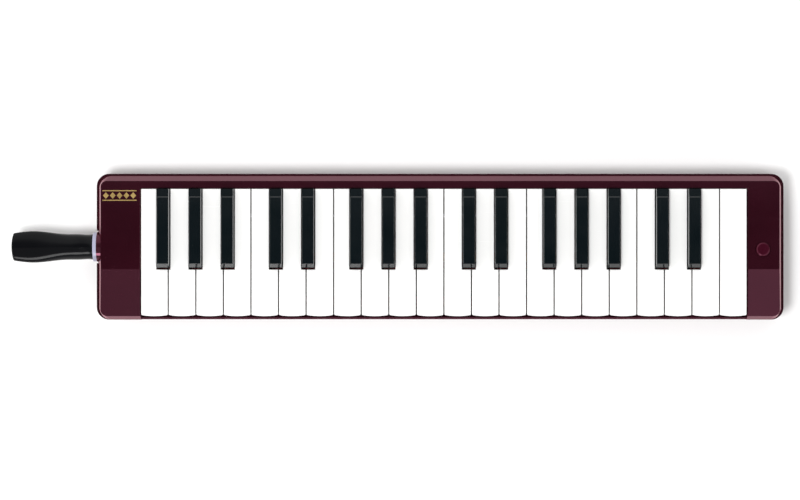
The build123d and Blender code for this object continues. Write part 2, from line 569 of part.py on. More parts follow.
def white_key(index):
    """Hollow white key with notches for its black neighbours and a slightly convex front."""
    left, right, rear_left, rear_right = white_limits(index)
    middle = (left + right) / 2
    right_notch = [(right, NOTCH_FRONT), (rear_right, NOTCH_FRONT)] if rear_right < right else []
    left_notch = [(rear_left, NOTCH_FRONT), (left, NOTCH_FRONT)] if rear_left > left else []
    with BuildPart() as key:
        with BuildSketch(Plane.XY.offset(KEY_BASE)) as plan:
            with BuildLine():
                Polyline((right, WHITE_CORNER), *right_notch, (rear_right, KEY_REAR), (rear_left, KEY_REAR),
                         *left_notch, (left, WHITE_CORNER))
                ThreePointArc((left, WHITE_CORNER), (middle, WHITE_TIP), (right, WHITE_CORNER))
            make_face()
            fillet(plan.vertices().group_by(Axis.Y)[0], 1.0)
        extrude(amount=WHITE_TOP - KEY_BASE)
        fillet(key.faces().sort_by(Axis.Z)[-1].outer_wire().edges(), WHITE_ROUNDING)
        with BuildSketch(Plane.XY.offset(KEY_BASE)):
            add(plan.sketch)
            offset(amount=-WHITE_SKIRT, kind=Kind.INTERSECTION, mode=Mode.REPLACE)
        extrude(amount=WHITE_CEILING - KEY_BASE, mode=Mode.SUBTRACT)
        side_prism(FRONT_DRAFT, left - 1.0, right + 1.0, mode=Mode.SUBTRACT)
        tail_and_pad(index, rear_left, rear_right, WHITE_SKIRT)
    return key


def black_key(index):
    """Hollow black key, narrower at its top, with a sloping front and rear."""
    x = semitone_x(index)
    left, right = x - BLACK_HALF, x + BLACK_HALF
    with BuildPart() as key:
        side_prism(BLACK_OUTLINE, left, right)
        for side in (-1, 1):
            with BuildSketch(Plane.XZ.offset(-KEY_REAR - 1.0)) as flank:
                with BuildLine():
                    Polyline((x + side * BLACK_HALF, WHITE_TOP), (x + side * BLACK_TOP_HALF, BLACK_TOP),
                             (x + side * BLACK_TOP_HALF, BLACK_TOP + 1.0),
                             (x + side * (BLACK_HALF + 1.0), BLACK_TOP + 1.0),
                             (x + side * (BLACK_HALF + 1.0), WHITE_TOP), close=True)
                make_face()
            extrude(flank.sketch, amount=KEY_REAR - BLACK_FRONT + 2.0, mode=Mode.SUBTRACT)
        fillet(key.faces().sort_by(Axis.Z)[-1].outer_wire().edges(), BLACK_ROUNDING)
        span_box(left + BLACK_SKIRT, right - BLACK_SKIRT, BLACK_FRONT + 2.0, KEY_REAR - BLACK_SKIRT, KEY_BASE,
                 BLACK_CEILING, mode=Mode.SUBTRACT)
        tail_and_pad(index, left, right, BLACK_SKIRT)
        span_box(x - 2.0, x + 2.0, RIB_FRONT, RIB_REAR, WHITE_CEILING, BLACK_CEILING + 0.5)
    return key


for index in range(KEY_COUNT):
    if is_black(index):
        publish(black_key(index), f"black_key_{note_name(index)}")
    else:
        publish(white_key(index), f"white_key_{note_name(index)}")

# ---- breath inlet ----
with BuildPart() as inlet_elbow:
    bar_along_x(INLET_Y, INLET_Z, TUBE_RADIUS, RING_FACE + 0.5, DOWNPIPE_X)
    post(DOWNPIPE_X, INLET_Y, TUBE_RADIUS - 0.6, TRAY_TOP + 1.0, INLET_Z)
    with Locations((DOWNPIPE_X, INLET_Y, INLET_Z)):
        Sphere(TUBE_RADIUS)
    span_box(INLET_NECK_END, CHAMBER_LEFT - 0.6, *INLET_NECK_SIDES, TRAY_TOP, TRAY_TOP + 2.0)
    bar_along_x(INLET_Y, INLET_Z, SOCKET_RADIUS, RING_FACE, SOCKET_END, mode=Mode.SUBTRACT)
    bar_along_x(INLET_Y, INLET_Z, DOWNPIPE_BORE, SOCKET_END, DOWNPIPE_X, mode=Mode.SUBTRACT)
    with Locations((DOWNPIPE_X, INLET_Y, INLET_Z)):
        Sphere(DOWNPIPE_BORE, mode=Mode.SUBTRACT)
    post(DOWNPIPE_X, INLET_Y, DOWNPIPE_BORE, TRAY_TOP, INLET_Z, mode=Mode.SUBTRACT)
publish(inlet_elbow, "inlet_elbow")

with BuildPart() as inlet_ring:
    bar_along_x(INLET_Y, INLET_Z, RING_RADIUS, RING_FACE, RING_SEAT)
    fillet(inlet_ring.edges().sort_by(Axis.X)[0], 0.5)
    bar_along_x(INLET_Y, INLET_Z, TUBE_RADIUS + 0.03, RING_FACE + 0.5, RING_SEAT, mode=Mode.SUBTRACT)
    bar_along_x(INLET_Y, INLET_Z, SOCKET_RADIUS + 0.1, RING_FACE, RING_FACE + 0.5, mode=Mode.SUBTRACT)
publish(inlet_ring, "inlet_ring")


def mouth_plane(x):
    """Plane across the mouthpiece, with its own x along +Y."""
    return Plane(origin=(x, INLET_Y, INLET_Z), x_dir=(0, 1, 0), z_dir=(-1, 0, 0))


# ---- mouthpiece ----
with BuildPart() as blow_channel:
    with BuildSketch(mouth_plane(SOCKET_END)):
        Circle(CHANNEL_RADIUS)
    with BuildSketch(mouth_plane(MOUTH_BASE - 12.0)):
        Circle(CHANNEL_RADIUS)
    loft()
    with BuildSketch(mouth_plane(MOUTH_BASE - 12.0)):
        Ellipse(CHANNEL_RADIUS, CHANNEL_RADIUS)
    with BuildSketch(mouth_plane(MOUTH_TIP - 1.0)):
        Ellipse(*LIP_OPENING)
    loft()

with BuildPart() as mouthpiece:
    for x, half_width, half_height in MOUTH_SECTIONS:
        with BuildSketch(mouth_plane(x)):
            Ellipse(half_width, half_height)
    loft()
    post(MOUTH_TIP + TIP_ARC, INLET_Y, TIP_ARC, 0, CASE_TOP, mode=Mode.INTERSECT)
    fillet(mouthpiece.edges().sort_by(Axis.X)[0], 0.8)
    fillet(mouthpiece.edges().sort_by(Axis.X)[-1], 0.4)
    bar_along_x(INLET_Y, INLET_Z, TENON_RADIUS, MOUTH_BASE - 0.5, SOCKET_END - 0.5)
    chamfer(mouthpiece.edges().sort_by(Axis.X)[-1], 0.6)
    with Locations(Location((SEAL_X, INLET_Y, INLET_Z), (0, 90, 0))):
        Torus(SEAL_RING, SEAL_GROOVE, mode=Mode.SUBTRACT)
    add(blow_channel.part, mode=Mode.SUBTRACT)
publish(mouthpiece, "mouthpiece")

with BuildPart() as mouthpiece_seal:
    with Locations(Location((SEAL_X, INLET_Y, INLET_Z), (0, 90, 0))):
        Torus(SEAL_RING, SEAL_WIRE)
publish(mouthpiece_seal, "mouthpiece_seal")

# ---- drain ----
with BuildPart() as drain_housing:
    span_box(CHAMBER_RIGHT + 0.6, DRAIN_NECK_END, *DRAIN_NECK_SIDES, TRAY_TOP, TRAY_TOP + 2.0)
    post(DRAIN_X, DRAIN_Y, 5.6, TRAY_TOP, SPRING_SEAT)
    post(DRAIN_X, DRAIN_Y, STEM_RADIUS + STEM_FIT, TRAY_TOP, SPRING_SEAT, mode=Mode.SUBTRACT)
publish(drain_housing, "drain_housing")

with BuildPart() as drain_button:
    post(DRAIN_X, DRAIN_Y, BUTTON_RADIUS, FLANGE_TOP, BUTTON_TOP)
    fillet(drain_button.faces().sort_by(Axis.Z)[-1].edges(), 1.2)
    post(DRAIN_X, DRAIN_Y, BUTTON_RADIUS + 0.9, FLANGE_TOP - 1.4, FLANGE_TOP)
    post(DRAIN_X, DRAIN_Y, BUTTON_RADIUS - 0.8, FLANGE_TOP - 1.4, SPRING_END, mode=Mode.SUBTRACT)
    post(DRAIN_X, DRAIN_Y, STEM_RADIUS, SEAT_BASE, SPRING_END + 0.5)
    post(DRAIN_X, DRAIN_Y, DISC_BORE, SEAT_BASE - DISC_THICKNESS, SEAT_BASE)
    post(DRAIN_X, DRAIN_Y, DISC_BORE + 0.8, SEAT_BASE - DISC_THICKNESS - 0.7, SEAT_BASE - DISC_THICKNESS)
publish(drain_button, "drain_button")

with BuildPart() as drain_valve_disc:
    post(DRAIN_X, DRAIN_Y, DISC_RADIUS, SEAT_BASE - DISC_THICKNESS, SEAT_BASE)
    fillet(drain_valve_disc.edges().filter_by(GeomType.CIRCLE), 0.3)
    post(DRAIN_X, DRAIN_Y, DISC_BORE + SCREW_FIT, SEAT_BASE - DISC_THICKNESS, SEAT_BASE, mode=Mode.SUBTRACT)
publish(drain_valve_disc, "drain_valve_disc")

with BuildPart() as drain_spring:
    with BuildLine(Plane((DRAIN_X, DRAIN_Y, SPRING_SEAT + SPRING_WIRE))) as spring_line:
        Helix((SPRING_END - SPRING_SEAT - 2 * SPRING_WIRE) / SPRING_TURNS,
              SPRING_END - SPRING_SEAT - 2 * SPRING_WIRE, SPRING_RADIUS)
    with BuildSketch(Plane(spring_line.line @ 0, z_dir=spring_line.line % 0)):
        Circle(SPRING_WIRE)
    sweep(is_frenet=True)
publish(drain_spring, "drain_spring")


# ---- screws ----
def pan_head_screw(x, y, direction, head_radius, head_height, shank_radius, seat_z, length):
    """A screw whose head sits at a height and whose shank runs up (+1) or down (-1) from it."""
    face_z = seat_z - direction * head_height
    post(x, y, head_radius, min(face_z, seat_z), max(face_z, seat_z))
    tip_z = seat_z + direction * length
    post(x, y, shank_radius, min(seat_z, tip_z), max(seat_z, tip_z))
    cross_z = face_z + direction * head_height * 0.3
    for width, depth in ((head_radius * 1.2, head_radius * 0.28), (head_radius * 0.28, head_radius * 1.2)):
        span_box(x - width / 2, x + width / 2, y - depth / 2, y + depth / 2,
                 min(face_z, cross_z), max(face_z, cross_z), mode=Mode.SUBTRACT)


with BuildPart() as case_screws:
    for x, y in REAR_SPOTS + CORNER_SPOTS:
        pan_head_screw(x, y, 1, CASE_HEAD, SCREW_HEAD_HEIGHT, CASE_SHANK, HEAD_RECESS, LONG_SCREW)
    for x, y in FRONT_SPOTS:
        pan_head_screw(x, y, 1, CASE_HEAD, SCREW_HEAD_HEIGHT, CASE_SHANK, HEAD_RECESS, SHORT_SCREW)
publish(case_screws, "case_screws")

with BuildPart() as small_screws:
    for x, y in EAR_SCREWS:
        pan_head_screw(x, y, -1, SMALL_HEAD, 1.4, SMALL_SHANK, EAR_TOP, EAR_TOP - TRAY_TOP + 2.3)
    for x, y in STRAP_SCREWS:
        pan_head_screw(x, y, 1, SMALL_HEAD, 0.9, SMALL_SHANK, ANCHOR_BASE + 1.2, RECESS_DEPTH + 0.4)
publish(small_screws, "small_screws")

# ---- hand strap ----
with BuildPart() as hand_strap:
    with BuildSketch(Plane.XY.offset(STRAP_BASE)):
        rounded_plan(RECESS_LEFT + 8.0, RECESS_RIGHT - 8.0, -STRAP_HALF, STRAP_HALF, 1.0)
    extrude(amount=STRAP_THICKNESS)
publish(hand_strap, "hand_strap")

with BuildPart() as strap_anchors:
    for near, far, pocket_near, pocket_far in ANCHOR_SPANS:
        with BuildSketch(Plane.XY.offset(ANCHOR_BASE)):
            rounded_plan(near, far, -RECESS_HALF + 0.6, RECESS_HALF - 0.6, 2.0)
        extrude(amount=RECESS_DEPTH - ANCHOR_BASE)
        span_box(pocket_near, pocket_far, -STRAP_HALF - 0.2, STRAP_HALF + 0.2, STRAP_BASE - 0.05,
                 RECESS_DEPTH, mode=Mode.SUBTRACT)
    for x, y in STRAP_SCREWS:
        post(x, y, SMALL_SHANK + 0.2, ANCHOR_BASE, RECESS_DEPTH, mode=Mode.SUBTRACT)
        post(x, y, SMALL_HEAD + 0.2, ANCHOR_BASE, ANCHOR_BASE + 1.2, mode=Mode.SUBTRACT)
publish(strap_anchors, "strap_anchors")
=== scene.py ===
"""Looks of a 37-key melodica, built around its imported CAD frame. Metres, +Z up, +Y away from the player."""
import json
import math

import bmesh
import bpy
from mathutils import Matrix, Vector


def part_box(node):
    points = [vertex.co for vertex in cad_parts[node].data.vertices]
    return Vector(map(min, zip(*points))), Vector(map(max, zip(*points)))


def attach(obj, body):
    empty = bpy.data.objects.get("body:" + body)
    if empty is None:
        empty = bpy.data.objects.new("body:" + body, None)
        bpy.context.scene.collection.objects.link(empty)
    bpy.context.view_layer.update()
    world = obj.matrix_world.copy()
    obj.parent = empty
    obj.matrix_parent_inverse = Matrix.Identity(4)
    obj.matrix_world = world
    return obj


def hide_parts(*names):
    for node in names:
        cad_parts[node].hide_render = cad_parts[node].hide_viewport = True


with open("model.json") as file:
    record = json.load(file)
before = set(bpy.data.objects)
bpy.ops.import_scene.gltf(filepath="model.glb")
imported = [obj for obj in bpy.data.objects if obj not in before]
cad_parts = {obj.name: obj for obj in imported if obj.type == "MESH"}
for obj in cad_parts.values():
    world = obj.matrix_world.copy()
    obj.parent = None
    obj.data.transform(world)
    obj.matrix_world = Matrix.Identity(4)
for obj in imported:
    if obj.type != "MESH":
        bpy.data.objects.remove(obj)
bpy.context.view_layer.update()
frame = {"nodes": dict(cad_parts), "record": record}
NODES = frame["nodes"]
SLOTS = {row["node"]: row["material_slot"] for row in frame["record"]["subparts"]}

MM = 0.001
CASE_LOW, CASE_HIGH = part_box("upper_case")
CASE_TOP = CASE_HIGH.z
WHITE = (1.0, 1.0, 1.0)

# ---- view: the camera stands over the keys, and the picture's middle lies left of it ----
CAMERA_PLACE = (4.0 * MM, 0.0, 2.25)
VIEW_CENTRE = (-28.2 * MM, -2.30 * MM)
VIEW_WIDTH = 562 * MM
VIEW_DEPTH = 100.0
SENSOR = 36.0

# ---- light: a lamp from the front left for the shadows, a low front panel for the highlights ----
LAMP_PLACE = (-0.42, -0.31, 2.2)
LAMP_SIZE = 0.52
LAMP_WATTS = 30.5
PANEL_ZENITH = math.radians(60.0)
PANEL_AZIMUTH = math.radians(-107.0)
PANEL_DISTANCE = 2.0
PANEL_SIZE = (0.9, 0.7)
PANEL_WATTS = 16.0

# ---- room: pale walls under a dark ceiling that is paler in front and behind ----
# HEIGHTS are a direction's share along Z, EDGES its share along Y and SIDES its share along X.
ROOM_COLOUR = (1.0, 0.995, 0.99)
ROOM_LIGHT = 0.58
CEILING_LIGHT = 0.012
CEILING_HEIGHTS = (0.80, 0.995)
REAR_LEAN = 1.4  # how much brighter it gets towards +Y
RIGHT_LEAN = -1.60  # and towards +X
HORIZON_LIGHT = 0.60
HORIZON_HEIGHTS = (0.15, 0.55)
HORIZON_EDGES = (-0.5, 0.5)
FRONT_CEILING = (0.60, 1.10)  # its light at the left and at the right
FRONT_CEILING_SIDES = (-0.1, 0.1)
FRONT_CEILING_EDGES = (-0.050, -0.035)
REAR_CEILING = 0.30
REAR_CEILING_EDGES = (0.0175, 0.0200)

# ---- floor ----
FLOOR_REACH = 12.0  # from its middle to each side
FLOOR_DROP = 0.2 * MM
PAPER_SCALE = 3.0

# ---- plastic: scales are in features per metre, pairs are the parts of the noise that show ----
DRIFT_SCALE = 28.0
SPECK_SCALE = 2600.0
SPECKS = (0.70, 0.78)
SPECK_LIFT = 0.25  # how much paler than the plastic a speck of dust is
CLOUD_SCALE = 60.0
PEEL_SCALE = 420.0
GRAIN_SCALE = 2400.0
SCRATCHES_ALONG = (14.0, 900.0, 900.0)
SCRATCHES_ACROSS = (900.0, 20.0, 900.0)
SHOWN_ALONG = (0.68, 0.74)
SHOWN_ACROSS = (0.69, 0.75)
SKIN_IOR = 1.07
PINK_GLOSS = (1.0, 0.48, 0.69)
PINK_SKIN = (1.0, 0.74, 0.79)
PAD_TOP = 29.99 * MM  # a key is rubber below this height
PAD_RUBBER = (0.42, 0.40, 0.38)
PAD_ROUGHNESS = 0.75

# ---- metal, felt and webbing ----
TARNISH_SCALE = 180.0
TARNISHED = (0.42, 0.68)
BRUSHING = (60.0, 4000.0, 4000.0)
FUZZ_SCALE = 3500.0
FUZZ_SHARE = 0.25
RIB_PITCH = 1.5 * MM
THREAD_PITCH = 0.9 * MM
WEAVE_DEPTH = 0.18 * MM

# ---- parts of the noise that several materials use ----
MOTTLED = (0.35, 0.65)
UNEVEN = (0.3, 0.7)


# ---------------------------------------------------------------- node helpers
def new_material(name):
    """A material with its tree, its Principled shader and the object's own coordinates."""
    material = bpy.data.materials.new(name)
    material.use_nodes = True
    tree = material.node_tree
    shader = tree.nodes["Principled BSDF"]
    coordinates = tree.nodes.new("ShaderNodeTexCoord").outputs["Object"]
    return material, tree, shader, coordinates


def math_node(tree, operation, *values):
    """A Math node whose inputs are sockets or numbers."""
    node = tree.nodes.new("ShaderNodeMath")
    node.operation = operation
    for socket, value in zip(node.inputs, values):
        if isinstance(value, (int, float)):
            socket.default_value = value
        else:
            tree.links.new(value, socket)
    return node.outputs[0]


def stretched(tree, coordinates, scale):
    """The coordinates stretched by a scale along each axis."""
    node = tree.nodes.new("ShaderNodeMapping")
    node.inputs["Scale"].default_value = scale
    tree.links.new(coordinates, node.inputs["Vector"])
    return node.outputs["Vector"]


def noise(tree, coordinates, scale, detail=2.0, distortion=0.0):
    """Noise from 0 to 1 with features of about 1 / scale metres."""
    node = tree.nodes.new("ShaderNodeTexNoise")
    node.inputs["Scale"].default_value = scale
    node.inputs["Detail"].default_value = detail
    node.inputs["Distortion"].default_value = distortion
    tree.links.new(coordinates, node.inputs["Vector"])
    return node.outputs["Fac"]


def remap(tree, value, low, high, to_low, to_high):
    """A value moved from one range to another, held at its ends."""
    node = tree.nodes.new("ShaderNodeMapRange")
    for name, number in (("From Min", low), ("From Max", high), ("To Min", to_low), ("To Max", to_high)):
        node.inputs[name].default_value = number
    tree.links.new(value, node.inputs["Value"])
    return node.outputs["Result"]


def mix(tree, factor, first, second):
    """A colour between two colours or colour sockets."""
    node = tree.nodes.new("ShaderNodeMix")
    node.data_type = "RGBA"
    tree.links.new(factor, node.inputs["Factor"])
    for socket, colour in ((node.inputs["A"], first), (node.inputs["B"], second)):
        if isinstance(colour, tuple):
            socket.default_value = (*colour, 1.0)
        else:
            tree.links.new(colour, socket)
    return node.outputs["Result"]


def bump(tree, shader, height, distance, below=None):
    """Adds relief of a height in metres to the shader, over the relief below it."""
    node = tree.nodes.new("ShaderNodeBump")
    node.inputs["Strength"].default_value = 1.0
    node.inputs["Distance"].default_value = distance
    tree.links.new(height, node.inputs["Height"])
    if below is not None:
        tree.links.new(below, node.inputs["Normal"])
    tree.links.new(node.outputs["Normal"], shader.inputs["Normal"])
    return node.outputs["Normal"]


# ---------------------------------------------------------------- materials
def moulded(name, colour, shade, roughness, gloss=0.5, ior=1.5, tint=WHITE, skin=WHITE, grain=0.0,
            peel=0.000004, scuffs=0.10, dust=0.0):
    """Moulded plastic: drifting colour, orange peel or spark grain, uneven gloss, fine scuffs and dust.

    A skin colour tints it more the more steeply it is seen, as a clear dyed outer layer does.
    """
    material, tree, shader, place = new_material(name)
    drift = remap(tree, noise(tree, place, DRIFT_SCALE, 3.0), *MOTTLED, 0.0, 1.0)
    body = mix(tree, drift, colour, shade)
    if dust:
        specks = remap(tree, noise(tree, place, SPECK_SCALE, 1.0), *SPECKS, 0.0, dust)
        body = mix(tree, specks, body, tuple(min(1.0, channel + SPECK_LIFT) for channel in colour))
    tree.links.new(body, shader.inputs["Base Color"])
    uneven = remap(tree, noise(tree, place, CLOUD_SCALE, 4.0), *UNEVEN, roughness * 0.8, roughness * 1.25)
    along = noise(tree, stretched(tree, place, SCRATCHES_ALONG), 1.0, 2.0, 0.4)
    across = noise(tree, stretched(tree, place, SCRATCHES_ACROSS), 1.0, 2.0, 0.4)
    marks = math_node(tree, "MAXIMUM", remap(tree, along, *SHOWN_ALONG, 0.0, scuffs),
                      remap(tree, across, *SHOWN_ACROSS, 0.0, scuffs))
    tree.links.new(math_node(tree, "ADD", uneven, marks), shader.inputs["Roughness"])
    relief = bump(tree, shader, noise(tree, place, PEEL_SCALE, 1.0), peel)
    if grain:
        bump(tree, shader, noise(tree, place, GRAIN_SCALE, 2.0), grain, relief)
    shader.inputs["IOR"].default_value = ior
    shader.inputs["Specular IOR Level"].default_value = gloss
    shader.inputs["Specular Tint"].default_value = (*tint, 1.0)
    if skin != WHITE:
        shader.inputs["Coat Weight"].default_value = 1.0
        shader.inputs["Coat IOR"].default_value = SKIN_IOR
        shader.inputs["Coat Tint"].default_value = (*skin, 1.0)
    return material


def key_plastic(name, colour, shade, roughness, gloss):
    """Key plastic, turning to grey silicone rubber on the pad, which is below the tail."""
    material = moulded(name, colour, shade, roughness, gloss, peel=0.000003, scuffs=0.06)
    tree = material.node_tree
    shader = tree.nodes["Principled BSDF"]
    place = tree.nodes["Texture Coordinate"].outputs["Object"]
    split = tree.nodes.new("ShaderNodeSeparateXYZ")
    tree.links.new(place, split.inputs[0])
    pad = math_node(tree, "LESS_THAN", split.outputs["Z"], PAD_TOP)
    body = shader.inputs["Base Color"].links[0].from_socket
    tree.links.new(mix(tree, pad, body, PAD_RUBBER), shader.inputs["Base Color"])
    plastic_level = shader.inputs["Roughness"].links[0].from_socket
    rubber_level = math_node(tree, "MULTIPLY", pad, PAD_ROUGHNESS)
    tree.links.new(math_node(tree, "MAXIMUM", plastic_level, rubber_level), shader.inputs["Roughness"])
    return material


def metal(name, colour, shade, roughness, depth):
    """Metal with brushed streaks along X and slight tarnish."""
    material, tree, shader, place = new_material(name)
    tarnish = remap(tree, noise(tree, place, TARNISH_SCALE, 4.0), *TARNISHED, 0.0, 1.0)
    tree.links.new(mix(tree, tarnish, colour, shade), shader.inputs["Base Color"])
    streaks = noise(tree, stretched(tree, place, BRUSHING), 1.0, 2.0)
    level = remap(tree, streaks, *UNEVEN, roughness * 0.7, roughness * 1.4)
    tree.links.new(level, shader.inputs["Roughness"])
    bump(tree, shader, streaks, depth)
    shader.inputs["Metallic"].default_value = 1.0
    return material


def soft_stuff(name, colour, shade, scale, depth, sheen):
    """Felt, rubber or thread: mottled, matt, with fine relief."""
    material, tree, shader, place = new_material(name)
    fibres = noise(tree, place, scale, 5.0, 0.6)
    mottling = remap(tree, fibres, *MOTTLED, 0.0, 1.0)
    tree.links.new(mix(tree, mottling, colour, shade), shader.inputs["Base Color"])
    tree.links.new(remap(tree, fibres, *UNEVEN, 0.75, 0.95), shader.inputs["Roughness"])
    bump(tree, shader, fibres, depth)
    shader.inputs["Sheen Weight"].default_value = sheen
    return material


def webbing(name, colour, shade):
    """Woven nylon: ribs across the strap and rows of yarn along it, painted paler on the raised yarn and
    darker in the hollows between, as painted shade.
    """
    material, tree, shader, place = new_material(name)
    waves = []
    for direction, period in (("X", RIB_PITCH), ("Y", THREAD_PITCH)):
        node = tree.nodes.new("ShaderNodeTexWave")
        node.bands_direction = direction
        # At a scale of 1 the node's wave goes through 20 radians in a metre.
        node.inputs["Scale"].default_value = 0.05 * math.tau / period
        node.inputs["Distortion"].default_value = 0.4
        node.inputs["Detail"].default_value = 1.0
        node.inputs["Detail Scale"].default_value = 3.0
        tree.links.new(place, node.inputs["Vector"])
        waves.append(node.outputs["Fac"])
    weave = math_node(tree, "MULTIPLY", *waves)
    fuzz = noise(tree, place, FUZZ_SCALE, 3.0)
    height = math_node(tree, "ADD", weave, math_node(tree, "MULTIPLY", fuzz, FUZZ_SHARE))
    # Painted shade: the colour follows the weave's height, darker in the hollows and paler on the raised
    # yarn.
    weave_shading = remap(tree, height, 0.1, 0.9, 0.0, 1.0)
    tree.links.new(mix(tree, weave_shading, colour, shade), shader.inputs["Base Color"])
    tree.links.new(remap(tree, fuzz, *UNEVEN, 0.6, 0.85), shader.inputs["Roughness"])
    bump(tree, shader, height, WEAVE_DEPTH)
    shader.inputs["Sheen Weight"].default_value = 0.35
    return material


MATERIALS = {
    "case_plastic": moulded("case_plastic", (0.0175, 0.0032, 0.0066), (0.0216, 0.0040, 0.0082), 0.07,
                            gloss=0.6, tint=PINK_GLOSS, skin=PINK_SKIN, dust=0.02),
    "white_key_plastic": key_plastic("white_key_plastic", (0.83, 0.83, 0.822), (0.81, 0.813, 0.805),
                                     0.22, 0.4),
    "black_key_plastic": key_plastic("black_key_plastic", (0.0019, 0.0044, 0.0056),
                                     (0.0025, 0.0050, 0.0065), 0.08, 0.55),
    "mouthpiece_plastic": moulded("mouthpiece_plastic", (0.0016, 0.0019, 0.0028),
                                  (0.0024, 0.0026, 0.0034), 0.12, gloss=0.3, ior=1.28, peel=0.000005),
    "inlet_plastic": moulded("inlet_plastic", (0.34, 0.338, 0.458), (0.355, 0.353, 0.478), 0.3),
    "button_plastic": moulded("button_plastic", (0.027, 0.0020, 0.0078), (0.032, 0.0025, 0.0094), 0.10,
                              gloss=0.6, tint=PINK_GLOSS, skin=PINK_SKIN),
    "chamber_plastic": moulded("chamber_plastic", (0.60, 0.57, 0.49), (0.55, 0.52, 0.45), 0.42,
                               grain=0.00001),
    "anchor_plastic": moulded("anchor_plastic", (0.018, 0.018, 0.019), (0.026, 0.025, 0.026), 0.45,
                              grain=0.00002, scuffs=0.15),
    "gasket_rubber": soft_stuff("gasket_rubber", (0.030, 0.030, 0.030), (0.048, 0.046, 0.044), 900.0,
                                0.00001, 0.0),
    "felt": soft_stuff("felt", (0.36, 0.03, 0.04), (0.24, 0.02, 0.03), 1800.0, 0.00025, 0.6),
    "reed_plate_metal": metal("reed_plate_metal", (0.70, 0.71, 0.72), (0.58, 0.58, 0.60), 0.3, 0.000006),
    "reed_brass": metal("reed_brass", (0.78, 0.56, 0.25), (0.62, 0.42, 0.18), 0.25, 0.000005),
    "spring_bronze": metal("spring_bronze", (0.66, 0.42, 0.24), (0.50, 0.30, 0.17), 0.3, 0.000005),
    "steel": metal("steel", (0.62, 0.62, 0.63), (0.50, 0.50, 0.51), 0.25, 0.000005),
    "screw_steel": metal("screw_steel", (0.60, 0.60, 0.58), (0.45, 0.44, 0.42), 0.32, 0.00001),
    "strap_fabric": webbing("strap_fabric", (0.012, 0.012, 0.013), (0.045, 0.044, 0.047)),
}


def dress(obj, slot):
    """Gives an object the finish of one of the record's material slots."""
    obj.data.materials.clear()
    obj.data.materials.append(MATERIALS[slot])


for node_name, node_object in NODES.items():
    dress(node_object, SLOTS[node_name])


# ---------------------------------------------------------------- mesh helpers
def object_from(name, mesh):
    """Turns a bmesh into an object of the scene and frees it."""
    data = bpy.data.meshes.new(name)
    mesh.to_mesh(data)
    mesh.free()
    obj = bpy.data.objects.new(name, data)
    bpy.context.scene.collection.objects.link(obj)
    return obj


def piece_from(name, mesh, body="root"):
    """Turns a bmesh into a piece that rides on a CAD body."""
    obj = object_from(name, mesh)
    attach(obj, body)
    return obj


def close_rings(mesh, rings):
    """Faces between neighbouring rings of points, and one across each of the two end rings."""
    count = len(rings[0])
    for before, after in zip(rings, rings[1:]):
        for point in range(count):
            beside = (point + 1) % count
            mesh.faces.new((before[point], before[beside], after[beside], after[point]))
    mesh.faces.new(rings[0][::-1])
    mesh.faces.new(rings[-1])


def smooth_outside(mesh):
    """Turns all faces outwards and shades them smooth."""
    bmesh.ops.recalc_face_normals(mesh, faces=mesh.faces[:])
    for face in mesh.faces:
        face.smooth = True


# ---------------------------------------------------------------- printed ornament on the left cheek
ORNAMENT_LEFT = CASE_LOW.x + 4.9 * MM
ORNAMENT_WIDTH = 24.0 * MM
ORNAMENT_FRONT = 32.3 * MM
ORNAMENT_DEPTH = 7.4 * MM
ORNAMENT_LINE = 0.7 * MM
LOZENGES = 5
LOZENGE_REACH = 0.42  # from a lozenge's middle to its tip, as a share of the pitch
INK = 0.06 * MM


def inked(mesh, corners):
    """A flat printed shape of the ink's thickness over a list of plan corners, anticlockwise."""
    rings = []
    for height in (-0.5 * INK, INK):
        rings.append([mesh.verts.new((x, y, CASE_TOP + height)) for x, y in corners])
    close_rings(mesh, rings)


def ornament():
    """A plain gold band: two thin lines with a row of lozenges between them."""
    mesh = bmesh.new()
    right = ORNAMENT_LEFT + ORNAMENT_WIDTH
    for front in (ORNAMENT_FRONT, ORNAMENT_FRONT + ORNAMENT_DEPTH - ORNAMENT_LINE):
        rear = front + ORNAMENT_LINE
        inked(mesh, [(ORNAMENT_LEFT, front), (right, front), (right, rear), (ORNAMENT_LEFT, rear)])
    middle = ORNAMENT_FRONT + ORNAMENT_DEPTH / 2
    half_depth = ORNAMENT_DEPTH / 2 - 2 * ORNAMENT_LINE
    pitch = ORNAMENT_WIDTH / LOZENGES
    half_width = LOZENGE_REACH * pitch
    for order in range(LOZENGES):
        x = ORNAMENT_LEFT + (order + 0.5) * pitch
        inked(mesh, [(x - half_width, middle), (x, middle - half_depth), (x + half_width, middle),
                     (x, middle + half_depth)])
    obj = piece_from("case_ornament", mesh)
    obj.data.materials.append(metal("gold_ink", (0.70, 0.505, 0.193), (0.545, 0.38, 0.14), 0.42, 0.000004))


ornament()

# ---------------------------------------------------------------- hand strap under the casing
STRAP_LOW, STRAP_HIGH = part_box("hand_strap")
STRAP_LENGTH = STRAP_HIGH.x - STRAP_LOW.x
STRAP_HALF = (STRAP_HIGH.y - STRAP_LOW.y) / 2
STRAP_MIDDLE = (STRAP_LOW + STRAP_HIGH) / 2
STRAP_TUCK = 0.2 * MM
STRAP_SAG = 0.4 * MM
WEB_THICKNESS = STRAP_HIGH.z - STRAP_LOW.z - 0.5 * MM
RIB_DEPTH = 0.10 * MM
RIB_STEPS = 6
SELVEDGE_WAVE = 0.15 * MM
SECTION_POINTS = 40
SECTION_POWER = 0.35  # squares up the webbing's oval section
STITCH_LENGTH = 2.4 * MM
STITCH_GAP = 0.6 * MM
STITCH_DIP = 0.20 * MM
STITCH_RISE = 0.26 * MM
STITCH_STEPS = 8
THREAD_RADIUS = 0.28 * MM
THREAD_POINTS = 8
SEAM_INSET = 17.0 * MM
SEAM_PITCH = 3 * MM
SEAM_MARGINS = 4 * MM


def strap_height(x):
    """Height of the webbing's middle: tucked up at the anchors, hanging slightly between them."""
    along = (x - STRAP_LOW.x) / STRAP_LENGTH
    return STRAP_MIDDLE.z + STRAP_TUCK - STRAP_SAG * math.sin(math.pi * along)


